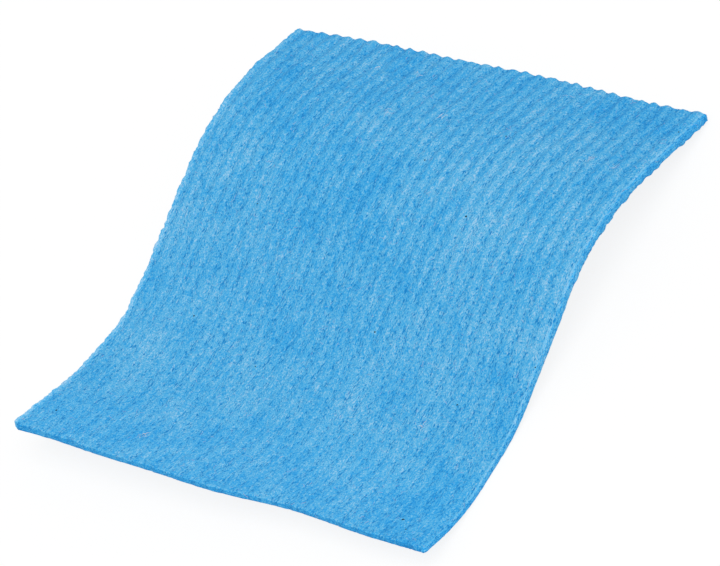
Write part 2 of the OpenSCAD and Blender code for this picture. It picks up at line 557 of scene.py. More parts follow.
        # The pale line is a painted highlight on the rim, so its grain is fainter
        calm = put(tree, MATH, {0: marks["line"], 1: self.highlight_calm}, operation="MULTIPLY")
        tone = put(tree, "ShaderNodeMix", {"Factor": calm, "A": tone, "B": MIDDLE}, data_type="FLOAT")
        for name, share in self.shares:
            tone = put(tree, MATH, {0: marks[name], 1: share, 2: tone}, operation="MULTIPLY_ADD")
        for u, v, radius, change in self.patches:
            away = put(tree, VECTOR_MATH, {0: place, 1: (u * MM, v * MM, 0.0)}, operation="DISTANCE")
            patch = Fade(self.patch_core * radius, radius, change, 0.0)
            tone = put(tree, MATH, {0: put(tree, MAP_RANGE, patch.over(away), **SMOOTH), 1: tone},
                       operation="ADD")
        dye = put(tree, "ShaderNodeValToRGB", {"Fac": tone}).node
        set_stops(dye.color_ramp, self.stops)
        gain: float | Socket = 1.0
        for name, share in self.gains:
            gain = put(tree, MATH, {0: marks[name], 1: share, 2: gain}, operation="MULTIPLY_ADD")
        colour = put(tree, VECTOR_MATH, {0: dye.outputs["Color"], "Scale": gain}, operation="SCALE")

        height = put(tree, MATH, {0: layers[0], 1: layers[1]}, operation="ADD")
        for name, depth in (("streaks", self.split_depth), ("pores", self.pore_depth)):
            height = put(tree, MATH, {0: marks[name], 1: depth, 2: height}, operation="MULTIPLY_ADD")
        normal = put(tree, "ShaderNodeBump", {
            "Height": height, "Strength": self.bump_strength, "Distance": self.bump * MM})
        shader = put(tree, PRINCIPLED, {
            "Base Color": colour, "Normal": normal, "Roughness": self.roughness,
            "Specular IOR Level": self.specular, "Sheen Weight": self.sheen,
            "Sheen Roughness": self.sheen_roughness})
        put(tree, OUTPUT, {"Surface": shader})
        return material


@dataclass(frozen=True)
class FibreFinish:
    """Bleached cotton fibre, stained by the dye round it: matt, pale and a little grey."""

    stops: tuple[tuple[float, str], ...] = ((0.42, "#7ABAE8"), (0.6, "#A9C2E6"))
    bleached: str = "#CCDEEE"
    stain_cell: float = 3.0
    tuft_gain: float = 2.5
    roughness: float = 0.85
    specular: float = 0.25

    def build(self) -> Material:
        """Builds the material.

        Returns:
            The node material.
        """
        material, tree = new_material("loose_cotton_fibre")
        place = put(tree, "ShaderNodeTexCoord").node.outputs["Object"]
        stain = put(tree, NOISE, {"Vector": place, "Scale": per(self.stain_cell), "Detail": 2.0})
        dye = put(tree, "ShaderNodeValToRGB", {"Fac": stain}).node
        set_stops(dye.color_ramp, self.stops)
        tuft = put(tree, "ShaderNodeAttribute", attribute_name="tuft").node.outputs["Fac"]
        tuft = put(tree, MATH, {0: tuft, 1: self.tuft_gain}, operation="MULTIPLY", use_clamp=True)
        colour = put(tree, "ShaderNodeMix", {
            "Factor_Float": tuft, "A_Color": dye.outputs["Color"], "B_Color": linear(self.bleached)},
            data_type="RGBA")
        shader = put(tree, PRINCIPLED, {
            "Base Color": colour, "Roughness": self.roughness, "Specular IOR Level": self.specular})
        put(tree, OUTPUT, {"Surface": shader})
        return material


@dataclass(frozen=True)
class FleckFinish:
    """Bits of bark and seed husk left in the pulp: dry, matt, brown to nearly black."""

    stops: tuple[tuple[float, str], ...] = ((0.4, "#141418"), (0.62, "#302A2A"))
    stain_cell: float = 14.0
    roughness: float = 0.9
    specular: float = 0.12

    def build(self) -> Material:
        """Builds the material.

        Returns:
            The node material.
        """
        material, tree = new_material("plant_husk_fleck")
        place = put(tree, "ShaderNodeTexCoord").node.outputs["Object"]
        stain = put(tree, NOISE, {"Vector": place, "Scale": per(self.stain_cell), "Detail": 1.0})
        husk = put(tree, "ShaderNodeValToRGB", {"Fac": stain}).node
        set_stops(husk.color_ramp, self.stops)
        shader = put(tree, PRINCIPLED, {
            "Base Color": husk.outputs["Color"], "Roughness": self.roughness,
            "Specular IOR Level": self.specular})
        put(tree, OUTPUT, {"Surface": shader})
        return material


@dataclass(frozen=True)
class FloorFinish:
    """White sweep of matt paper, which the camera sees as white but for the shadow on it."""

    seen: str = "#FFFFFF"
    lit: str = "#F0F0F0"
    glow: float = 0.86

    def build(self) -> Material:
        """Builds the material.

        Returns:
            The node material.
        """
        material, tree = new_material("matt_white_paper")
        ray = put(tree, "ShaderNodeLightPath").node.outputs["Is Camera Ray"]
        paper, seen = (put(tree, "ShaderNodeBsdfDiffuse", {"Color": linear(colour)})
                       for colour in (self.lit, self.seen))
        glow = put(tree, "ShaderNodeEmission", {"Color": linear(self.seen), "Strength": 1.0})
        seen = put(tree, "ShaderNodeMixShader", {0: self.glow, 1: seen, 2: glow})
        mixed = put(tree, "ShaderNodeMixShader", {0: ray, 1: paper, 2: seen})
        put(tree, OUTPUT, {"Surface": mixed})
        return material


@dataclass
class BendLine:
    """The chain of straights and arcs that the sheet's underside follows.

    It is the one that the part's own solid is bent along. touch_q is how far along the line the
    tail's outer corner touches the table. The line is drawn from first to last in short steps.
    """

    skew: float = 6.5
    lip_len: float = 18.0
    lip_slope: float = 21.0
    hollow_r: float = 72.0
    seat_len: float = 12.0
    ramp_slope: float = 16.0
    shoulder_r: float = 90.0
    tail_slope: float = 18.5
    touch_q: float = 207.546
    first: float = -14.0
    last: float = 222.0
    step: float = 0.5

    def knots(self) -> tuple[np.ndarray, np.ndarray]:
        """Works out where each span ends and the slope there.

        Returns:
            Distances along the line in millimetres, and slopes in radians.
        """
        lip, ramp, tail = (math.radians(a) for a in (self.lip_slope, self.ramp_slope, self.tail_slope))
        hollow_in, hollow_out = self.hollow_r * lip, self.hollow_r * ramp
        shoulder = self.shoulder_r * (ramp + tail)
        arcs = hollow_in + hollow_out + shoulder
        climb = ((self.touch_q - self.lip_len - self.seat_len - arcs) * math.sin(tail)
                 - self.hollow_r * (1 - math.cos(ramp))
                 + self.shoulder_r * (math.cos(ramp) - math.cos(tail))) / (math.sin(ramp) + math.sin(tail))
        spans = (self.lip_len, hollow_in, self.seat_len, hollow_out, climb, shoulder)
        return np.cumsum(spans), np.array((-lip, 0.0, 0.0, ramp, ramp, -tail))

    def points(self) -> np.ndarray:
        """Walks along the line.

        Returns:
            One row (x, y, z) for each step, in metres, with the seat at z = 0.
        """
        ends, slopes = self.knots()
        count = round((self.last - self.first) / self.step)
        middles = self.first + (np.arange(count) + 0.5) * self.step
        slope = np.interp(middles, ends, slopes)
        y = np.concatenate(([0.0], np.cumsum(np.cos(slope)))) * self.step
        z = np.concatenate(([0.0], np.cumsum(np.sin(slope)))) * self.step
        along = self.first + np.arange(count + 1) * self.step
        y -= np.interp(0.0, along, y)
        z -= np.interp(ends[1] + self.seat_len / 2, along, z)
        return np.column_stack((np.zeros(count + 1), y, z)) * MM

    def make(self) -> Object:
        """Makes the line as a curve that the sheet is bent along.

        Returns:
            The curve's object, which is removed once the sheet is bent.
        """
        curve = bpy.data.curves.new("bend_line", "CURVE")
        curve.dimensions = "3D"
        points = self.points()
        spline = curve.splines.new("POLY")
        spline.points.add(len(points) - 1)
        spline.points.foreach_set("co", np.column_stack((points, np.ones(len(points)))).ravel())
        return add_object("bend_line", curve)


@dataclass
class CutBlank:
    """The flat blank as it is cut: a fine upper face, a coarser underside and the cut walls.

    The underside has half as many columns and rows. The blade strays from a straight cut by waves,
    each (share of wander, start, length).
    """

    width: float = 180.0
    length: float = 200.0
    rib_count: int = 32
    columns: int = 256
    rows: int = 280
    corner_r: float = 1.0
    blunt_r: float = 3.0
    edge_r: float = 0.3
    foot_inset: float = 0.4
    rim_fade: float = 0.6
    wander: float = 0.8
    near_waves: tuple[tuple[float, float, float], ...] = ((1.0, 12, 105), (0.5, 18, 57))
    far_waves: tuple[tuple[float, float, float], ...] = ((1.4, -18, 175), (0.8, 28, 93))

    def trim(self, u: np.ndarray, v: np.ndarray) -> np.ndarray:
        """Brings square places to the round corners and the slightly strayed cuts.

        The near left corner is blunter than the other three.

        Args:
            u: places across the ribs.
            v: places along the ribs.

        Returns:
            The trimmed places, one row (u, v) each.
        """
        pitch = self.width / self.rib_count
        radius = np.where((u < 0) & (v < self.length / 2), self.blunt_r, self.corner_r)
        gap = np.maximum(0.0, radius - np.minimum(v, self.length - v))
        inset = radius - np.sqrt(radius ** 2 - gap ** 2)
        outer = np.maximum(0.0, np.abs(u) - self.width / 2 + pitch) / pitch
        u = u - np.sign(u) * outer * inset
        near, far = (self.wander * sum(share * wave(math.tau * (u - start) / length)
                                       for share, start, length in waves)
                     for wave, waves in ((np.sin, self.near_waves), (np.cos, self.far_waves)))
        return np.column_stack((u, v + near * (1 - v / self.length) + far * v / self.length))

    def grid(self, columns: int, rows: int, inset: float) -> np.ndarray:
        """Lays out a face of the blank.

        Args:
            columns: number of cells across.
            rows: number of cells along.
            inset: distance of its border from the cut.

        Returns:
            Trimmed places, row by row from the near cut.
        """
        half = self.width / 2
        u = np.clip(np.linspace(-half, half, columns + 1), inset - half, half - inset)
        v = np.clip(np.linspace(0, self.length, rows + 1), inset, self.length - inset)
        across, along = np.meshgrid(u, v)
        return self.trim(across.ravel(), along.ravel())

    @staticmethod
    def border(columns: int, rows: int) -> np.ndarray:
        """Lists a grid's border points, anticlockwise seen from above, from the near left corner.

        Args:
            columns: number of cells across.
            rows: number of cells along.

        Returns:
            The points' numbers in the grid.
        """
        wide = columns + 1
        near = np.arange(columns)
        right = columns + wide * np.arange(rows)
        far = rows * wide + columns - np.arange(columns)
        left = wide * (rows - np.arange(rows))
        return np.concatenate((near, right, far, left))

    @staticmethod
    def band(places: np.ndarray, share: float, **marks: float | np.ndarray) -> dict[str, np.ndarray]:
        """Lists the points of a face or ring with their marks.

        Args:
            places: one row (u, v) for each point.
            share: their share of the sheet's height.
            marks: their "trim", "wall", "rim" or "outward", each 0 where it isn't given.

        Returns:
            An array for each mark, and "place" with one row (x, y, share) for each point.
        """
        count = len(places)
        band = {name: np.zeros((count, 3 if name == "outward" else 1)) + marks.get(name, 0.0)
                for name in ("trim", "wall", "rim", "outward")}
        band["place"] = np.column_stack((places * MM, np.full(count, share)))
        return band

    def make(self) -> Object:
        """Makes the blank. Its z is the share of the sheet's height.

        Returns:
            The object. Its points carry "trim", a height to add in metres, "wall" and "rim", shares
            that are 1 on the cut walls and the rounded upper edge, and "outward", the direction out
            of the sheet at its border.
        """
        fine = (self.columns, self.rows)
        coarse = (self.columns // 2, self.rows // 2)
        ring, low_ring = self.border(*fine), self.border(*coarse)
        full = self.grid(*fine, 0.0)[ring]
        heading = np.roll(full, -1, 0) - np.roll(full, 1, 0)
        outward = np.column_stack((heading[:, 1], -heading[:, 0], np.zeros(len(ring))))
        outward /= np.linalg.norm(outward, axis=1)[:, None]

        upper = self.band(self.grid(*fine, self.edge_r), 1.0)
        upper["rim"][ring] = self.rim_fade
        upper["outward"][ring] = outward
        bands = [upper]
        starts = []
        for layer in Layer:
            share, drop, inset = layer.value
            shoulder = layer is Layer.SHOULDER
            starts.append(sum(len(b["place"]) for b in bands))
            bands.append(self.band(
                full - outward[:, :2] * inset * self.edge_r, share, trim=-drop * self.edge_r * MM,
                wall=float(not shoulder), rim=float(shoulder), outward=outward))
        first_under = sum(len(b["place"]) for b in bands)
        under = self.band(self.grid(*coarse, self.edge_r * self.foot_inset), 0.0)
        under["outward"][low_ring] = outward[::2]
        under["wall"][low_ring] = 1.0
        bands.append(under)

        faces: list[tuple[int, ...]] = []
        for (columns, rows), base, turned in ((fine, 0, False), (coarse, first_under, True)):
            wide = columns + 1
            corner = (np.arange(rows)[:, None] * wide + np.arange(columns)).ravel() + base
            quads = np.column_stack((corner, corner + 1, corner + wide + 1, corner + wide))
            faces += (quads[:, ::-1] if turned else quads).tolist()
        here = np.arange(len(ring))
        after = np.roll(here, -1)
        rings = [ring] + [start + here for start in starts]
        for above, below in zip(rings, rings[1:]):
            faces += np.column_stack((above[here], below[here], below[after], above[after])).tolist()
        # Each edge of the underside's border joins two edges of the foot ring
        foot, low = rings[-1], low_ring + first_under
        for k in range(len(low)):
            a, b, c = foot[2 * k], foot[2 * k + 1], foot[(2 * k + 2) % len(foot)]
            p, q = low[k], low[(k + 1) % len(low)]
            faces += [(a, p, b), (b, p, q), (b, q, c)]

        mesh = bpy.data.meshes.new("cloth_sheet")
        mesh.from_pydata(np.concatenate([b["place"] for b in bands]).tolist(), [], faces)
        for name, kind in (("trim", "FLOAT"), ("wall", "FLOAT"), ("rim", "FLOAT"),
                           ("outward", "FLOAT_VECTOR")):
            mark = mesh.attributes.new(name, kind, "POINT")
            values = np.concatenate([b[name] for b in bands])
            mark.data.foreach_set("value" if kind == "FLOAT" else "vector", values.ravel())
        return add_object("cloth_sheet", mesh)


@dataclass
class SpongeSheet:
    """The cloth itself: the blank with its thickness, ribs, pores and bend.

    A cell is the width of one patch in an uneven pattern, and the lumps are each (cell, weight).
    """

    blank: CutBlank = field(default_factory=CutBlank)
    line: BendLine = field(default_factory=BendLine)
    pattern: SkinPattern = field(default_factory=SkinPattern)
    finish: SpongeFinish = field(default_factory=SpongeFinish)
    near_t: float = 2.3
    far_t: float = 3.5
    press_from: float = 20.0
    press_len: float = 100.0
    near_rib: float = 0.2
    far_rib: float = 0.85
    rib_from: float = 70.0
    rib_len: float = 140.0
    rib_swell: float = 1.8
    rib_offset: float = 0.6
    rib_spread: float = 0.009
    rib_stray: float = 2.0
    stray_cell: float = 70.0
    rib_wobble: float = 3.0
    wobble_cell: float = 8.0
    uneven_cell: float = 4.5
    uneven_drawn: tuple[float, float, float] = (1.0, 0.45, 1.0)
    uneven: Fade = Fade(0.3, 0.7, 0.45, 1.45, unit=1)
    lump: float = 0.35
    lumps: tuple[tuple[float, float], ...] = ((2.2, 1.0), (11.0, 0.8))
    streak_depth: float = 0.22
    pore_depth: float = 0.2
    crease_depth: float = 0.22
    # The near left corner is less pressed than the rest of that end
    corner_swell: float = 0.7
    corner_across: Fade = Fade(-85, -35, 1.0, 0.0)
    corner_along: Fade = Fade(38, 78, 1.0, 0.0)
    under_dent: float = 1.1
    dent_cell: float = 5.0
    dent_from: float = 0.38
    dent_to: float = 0.85
    # Notches in the foot of the cut walls, where the sheet is full
    foot_notch: float = 0.9
    notch_half: Fade = Fade(0.0, 0.17, 1.0, 0.0, unit=1)
    notch_along: Fade = Fade(85, 125)
    # Fraying of the cuts, the more so at the near cut, and small bites out of the left edge
    ragged: float = 2.2
    ragged_cell: float = 5.0
    ragged_near: Fade = Fade(3, 12, 1.4, 1.0)
    cut_grain: float = 0.35
    cut_cell: float = 1.1
    bitten: float = 1.7
    bite_cell: float = 1.6
    bitten_from: Fade = Fade(-87, -89)
    # Shallow nick where the crease meets the left edge
    nick: float = 1.6
    nick_at: float = 62.0
    nick_half: float = 16.0
    nick_across: Fade = Fade(-90, -76, 1.0, 0.0)
    # Middle of the bent part's own box, which goes to the origin
    box_middle: tuple[float, float] = (-0.292, 97.734)

    def sizes(self, line: Object) -> dict[str, object]:
        """Lists the tree's inputs, in metres and radians.

        Args:
            line: the curve that the sheet is bent along.

        Returns:
            The value of each input by name.
        """
        lengths = {
            "Line start": self.line.first,
            "Near thickness": self.near_t,
            "Full thickness": self.far_t,
            "Press from": self.press_from,
            "Press to": self.press_from + self.press_len,
            "Rib from": self.rib_from,
            "Rib to": self.rib_from + self.rib_len,
            "Near rib": self.near_rib,
            "Full rib": self.far_rib,
            "Rib pitch": self.blank.width / self.blank.rib_count,
            "Rib start": -self.blank.width / 2 + self.rib_offset,
            "Rib stray": self.rib_stray,
            "Rib wobble": self.rib_wobble,
            "Lump": self.lump,
            "Streak depth": self.streak_depth,
            "Pore depth": self.pore_depth,
            "Crease depth": self.crease_depth,
            "Under dent": self.under_dent,
            "Ragged": self.ragged,
            "Cut grain": self.cut_grain,
            "Corner swell": self.corner_swell,
            "Bitten": self.bitten,
            "Foot notch": self.foot_notch,
            "Nick": self.nick,
        }
        return {
            "Bend line": line,
            "Bend skew": math.radians(self.line.skew),
            "Rib spread": self.rib_spread,
            "Rib swell": self.rib_swell,
            "Origin shift": (-self.box_middle[0] * MM, -self.box_middle[1] * MM, 0.0),
            **{name: length * MM for name, length in lengths.items()},
        }

    def phase(self, tree: Tree, size: dict[str, Socket], flat: Socket) -> Socket:
        """Adds the count of ribs, which stray a little from straight and spread to the right.

        Args:
            tree: the tree of nodes to add to.
            size: the tree's inputs by name.
            flat: flat place on the sheet.

        Returns:
            Distance across the ribs, in ribs, with a crest at each whole number.
        """
        u, _, _ = put(tree, SEPARATE, {0: flat}).node.outputs
        stray = swing(tree, flat, self.stray_cell)
        moved = put(tree, MATH, {0: stray, 1: size["Rib stray"], 2: size["Rib start"]},
                    operation="MULTIPLY_ADD")
        moved = put(tree, MATH, {0: u, 1: size["Rib spread"], 2: moved}, operation="MULTIPLY_ADD")
        wobble = swing(tree, flat, self.wobble_cell)
        moved = put(tree, MATH, {0: wobble, 1: size["Rib wobble"], 2: moved}, operation="MULTIPLY_ADD")
        phase = put(tree, MATH, {0: u, 1: moved}, operation="SUBTRACT")
        return put(tree, MATH, {0: phase, 1: size["Rib pitch"]}, operation="DIVIDE")

    def upper_height(self, tree: Tree, size: dict[str, Socket], flat: Socket, phase: Socket) -> Socket:
        """Adds the height of the upper face: body, uneven ribs and lumps, less the splits and pores.

        Args:
            tree: the tree of nodes to add to.
            size: the tree's inputs by name.
            flat: flat place on the sheet.
            phase: distance across the ribs, in ribs.

        Returns:
            The height over the bend line.
        """
        u, v, _ = put(tree, SEPARATE, {0: flat}).node.outputs
        swell = put(tree, MATH, {0: phase, 1: math.pi}, operation="MULTIPLY")
        for operation in ("COSINE", "ABSOLUTE"):
            swell = put(tree, MATH, {0: swell}, operation=operation)
        swell = put(tree, MATH, {0: swell, 1: size["Rib swell"]}, operation="POWER")
        body, rib = (put(tree, MAP_RANGE, {
            "Value": v, "From Min": size[f"{grown} from"], "From Max": size[f"{grown} to"],
            "To Min": size[f"Near {name}"], "To Max": size[f"Full {name}"]}, **SMOOTH)
            for grown, name in (("Press", "thickness"), ("Rib", "rib")))
        across, along = (put(tree, MAP_RANGE, change.over(value), **SMOOTH)
                         for change, value in ((self.corner_across, u), (self.corner_along, v)))
        spared = put(tree, MATH, {0: across, 1: along}, operation="MULTIPLY")
        body = put(tree, MATH, {0: spared, 1: size["Corner swell"], 2: body}, operation="MULTIPLY_ADD")
        drawn = put(tree, VECTOR_MATH, {0: flat, 1: self.uneven_drawn}, operation="MULTIPLY")
        uneven = put(tree, NOISE, {"Vector": drawn, "Scale": per(self.uneven_cell), "Detail": 1.0})
        uneven = put(tree, MAP_RANGE, self.uneven.over(uneven))
        rib = put(tree, MATH, {0: rib, 1: uneven}, operation="MULTIPLY")
        height = put(tree, MATH, {0: rib, 1: swell, 2: body}, operation="MULTIPLY_ADD")
        for cell, weight in self.lumps:
            lumps = put(tree, MATH, {0: swing(tree, flat, cell, 2.0), 1: weight}, operation="MULTIPLY")
            height = put(tree, MATH, {0: lumps, 1: size["Lump"], 2: height}, operation="MULTIPLY_ADD")
        for hollow, depth in ((self.pattern.streaks(tree, flat, phase), "Streak depth"),
                              (self.pattern.pores(tree, flat), "Pore depth"),
                              (self.pattern.crease(tree, flat), "Crease depth")):
            taken = put(tree, MATH, {0: hollow, 1: size[depth]}, operation="MULTIPLY")
            height = put(tree, MATH, {0: height, 1: taken}, operation="SUBTRACT")
        return height

    def under_height(self, tree: Tree, size: dict[str, Socket], flat: Socket, wall: Socket) -> Socket:
        """Adds the height of the underside: shallow dents, and notches in the foot of the walls.

        Args:
            tree: the tree of nodes to add to.
            size: the tree's inputs by name.
            flat: flat place on the sheet.
            wall: share that is 1 on the cut walls.

        Returns:
            The height over the bend line.
        """
        _, v, _ = put(tree, SEPARATE, {0: flat}).node.outputs
        dents = put(tree, NOISE, {"Vector": flat, "Scale": per(self.dent_cell), "Detail": 2.0})
        change = Fade(self.dent_from, self.dent_to, 0.0, size["Under dent"], unit=1)
        dents = put(tree, MAP_RANGE, change.over(dents))
        notch = put(tree, MATH, {0: swing(tree, flat, self.dent_cell, 0.0)}, operation="ABSOLUTE")
        notch = put(tree, MAP_RANGE, self.notch_half.over(notch))
        full = put(tree, MAP_RANGE, self.notch_along.over(v), **SMOOTH)
        full = put(tree, MATH, {0: full, 1: wall}, operation="MULTIPLY")
        notch = put(tree, MATH, {0: notch, 1: full}, operation="MULTIPLY")
        return put(tree, MATH, {0: notch, 1: size["Foot notch"], 2: dents}, operation="MULTIPLY_ADD")

    def fray(self, tree: Tree, size: dict[str, Socket], solid: Socket, wall: Socket) -> Socket:
        """Adds the small shifts of the cut edges: fraying, open grain, bites and the nick.

        Args:
            tree: the tree of nodes to add to.
            size: the tree's inputs by name.
            solid: flat place on the sheet with the height.
            wall: share that is 1 on the cut walls.

        Returns:
            The shift on the flat sheet, as a vector.
        """
        u, v, _ = put(tree, SEPARATE, {0: solid}).node.outputs
        flat = put(tree, COMBINE, {0: u, 1: v})
        frayed = swing(tree, flat, self.ragged_cell, 3.0, 0.6)
        frayed = put(tree, MATH, {0: frayed, 1: size["Ragged"]}, operation="MULTIPLY")
        rougher = put(tree, MAP_RANGE, self.ragged_near.over(v))
        frayed = put(tree, MATH, {0: frayed, 1: rougher}, operation="MULTIPLY")
        open_cut = swing(tree, solid, self.cut_cell)
        open_cut = put(tree, MATH, {0: open_cut, 1: size["Cut grain"]}, operation="MULTIPLY")
        pushed = put(tree, MATH, {0: open_cut, 1: wall, 2: frayed}, operation="MULTIPLY_ADD")
        leftmost = put(tree, MAP_RANGE, self.bitten_from.over(u))
        bitten = put(tree, MATH, {0: swing(tree, flat, self.bite_cell), 1: leftmost}, operation="MULTIPLY")
        pushed = put(tree, MATH, {0: bitten, 1: size["Bitten"], 2: pushed}, operation="MULTIPLY_ADD")
        outward = put(tree, MESH_MARK, {"Name": "outward"}, data_type="FLOAT_VECTOR")
        pushed = put(tree, VECTOR_MATH, {0: outward, "Scale": pushed}, operation="SCALE")
        at_edge = put(tree, MAP_RANGE, self.nick_across.over(u), **SMOOTH)
        away = put(tree, MATH, {0: v, 1: self.nick_at * MM}, operation="SUBTRACT")
        away = put(tree, MATH, {0: away}, operation="ABSOLUTE")
        at_crease = put(tree, MAP_RANGE, Fade(0.0, self.nick_half, 1.0, 0.0).over(away), **SMOOTH)
        drawn_in = put(tree, MATH, {0: at_edge, 1: at_crease}, operation="MULTIPLY")
        drawn_in = put(tree, MATH, {0: drawn_in, 1: size["Nick"]}, operation="MULTIPLY")
        return put(tree, VECTOR_MATH, {0: pushed, 1: put(tree, COMBINE, {0: drawn_in})}, operation="ADD")

    def bend(self, tree: Tree, size: dict[str, Socket], flat: Socket, height: Socket) -> Socket:
        """Adds the bend: turn by the skew, follow the line, stand off by the height, turn back.

        Args:
            tree: the tree of nodes to add to.
            size: the tree's inputs by name.
            flat: flat place on the sheet.
            height: height over the bend line.

        Returns:
            The place in space.
        """
        turned = put(tree, "ShaderNodeVectorRotate", {"Vector": flat, "Angle": size["Bend skew"]},
                     rotation_type="Z_AXIS")
        across, along, _ = put(tree, SEPARATE, {0: turned}).node.outputs
        reach = put(tree, MATH, {0: along, 1: size["Line start"]}, operation="SUBTRACT")
        line = put(tree, "GeometryNodeObjectInfo", {"Object": size["Bend line"]}).node.outputs["Geometry"]
        sample = put(tree, "GeometryNodeSampleCurve", {"Curves": line, "Length": reach}, mode="LENGTH").node
        normal = put(tree, VECTOR_MATH, {0: (1.0, 0.0, 0.0), 1: sample.outputs["Tangent"]},
                     operation="CROSS_PRODUCT")
        bent = put(tree, VECTOR_MATH, {0: normal, "Scale": height}, operation="SCALE")
        for shift in (sample.outputs["Position"], put(tree, COMBINE, {0: across})):
            bent = put(tree, VECTOR_MATH, {0: bent, 1: shift}, operation="ADD")
        back = put(tree, MATH, {0: size["Bend skew"], 1: -1.0}, operation="MULTIPLY")
        bent = put(tree, "ShaderNodeVectorRotate", {"Vector": bent, "Angle": back}, rotation_type="Z_AXIS")
        return put(tree, VECTOR_MATH, {0: bent, 1: size["Origin shift"]}, operation="ADD")

    def grow(self, line: Object, material: Material) -> Tree:
        """Builds the tree that gives the blank its height, ribs and bend.

        Args:
            line: the curve that the sheet is bent along.
            material: the finish of every face.

        Returns:
            The tree.
        """
        tree, size = new_tree("rib_and_bend", self.sizes(line))
        u, v, share = put(tree, SEPARATE, {0: put(tree, "GeometryNodeInputPosition")}).node.outputs
        flat = put(tree, COMBINE, {0: u, 1: v})
        wall, trim = (put(tree, MESH_MARK, {"Name": name}, data_type="FLOAT") for name in ("wall", "trim"))
        phase = self.phase(tree, size, flat)
        upper = self.upper_height(tree, size, flat, phase)
        under = self.under_height(tree, size, flat, wall)
        height = put(tree, "ShaderNodeMix", {"Factor": share, "A": under, "B": upper}, data_type="FLOAT")
        height = put(tree, MATH, {0: height, 1: trim}, operation="ADD")
        solid = put(tree, COMBINE, {0: u, 1: v, 2: height})
        shift = self.fray(tree, size, solid, wall)
        shifted = put(tree, VECTOR_MATH, {0: flat, 1: shift}, operation="ADD")
        bent = self.bend(tree, size, shifted, height)
        shape = size["Geometry"]
        on_top = put(tree, MATH, {0: share, 1: UPPER_SHARE}, operation="GREATER_THAN")
        for name, kind, value in (("flat_place", "FLOAT_VECTOR", solid), ("rib_phase", "FLOAT", phase),
                                  ("upper", "FLOAT", on_top)):
            shape = put(tree, "GeometryNodeStoreNamedAttribute", {
                "Geometry": shape, "Name": name, "Value": value}, data_type=kind)
        shape = put(tree, "GeometryNodeSetPosition", {"Geometry": shape, "Position": bent})
        end_tree(tree, shape, material)
        return tree

    def make(self) -> Object:
        """Makes the dressed sheet.

        Returns:
            The sheet as one mesh, whose points carry "flat_place", "rib_phase" and "upper".
        """
        material = self.finish.build(self.pattern)
        line = self.line.make()
        sheet = self.blank.make()
        apply_tree(sheet, self.grow(line, material), self.sizes(line), material)
        curve = line.data
        bpy.data.objects.remove(line)
        bpy.data.curves.remove(curve)
        return sheet


@dataclass(frozen=True)
class Skin:
    """The points of the sheet's upper face.

    For each point it holds its number in the mesh, its place in metres, the direction that it faces
    and its flat place (u, v) in millimetres.
    """

    index: np.ndarray
    place: np.ndarray
    facing: np.ndarray
    flat: np.ndarray

    @classmethod
    def read(cls, sheet: Object) -> "Skin":
        """Reads the upper face of the finished sheet.

        Args:
            sheet: the finished sheet.

        Returns:
            Its upper face.
        """
        mesh = sheet.data
        count = len(mesh.vertices)
        place, facing, flat = (np.empty(count * 3) for _ in range(3))
        upper = np.empty(count)
        mesh.vertices.foreach_get("co", place)
        mesh.vertices.foreach_get("normal", facing)
        mesh.attributes["flat_place"].data.foreach_get("vector", flat)
        mesh.attributes["upper"].data.foreach_get("value", upper)
        index = np.flatnonzero(upper > 0.5)
        place, facing, flat = (a.reshape(-1, 3)[index] for a in (place, facing, flat))
        return cls(index, place, facing, flat[:, :2] / MM)

    def away(self, u: float, v: float) -> np.ndarray:
        """Gives each point's distance on the flat sheet from a flat place, in millimetres."""
        return np.hypot(self.flat[:, 0] - u, self.flat[:, 1] - v)


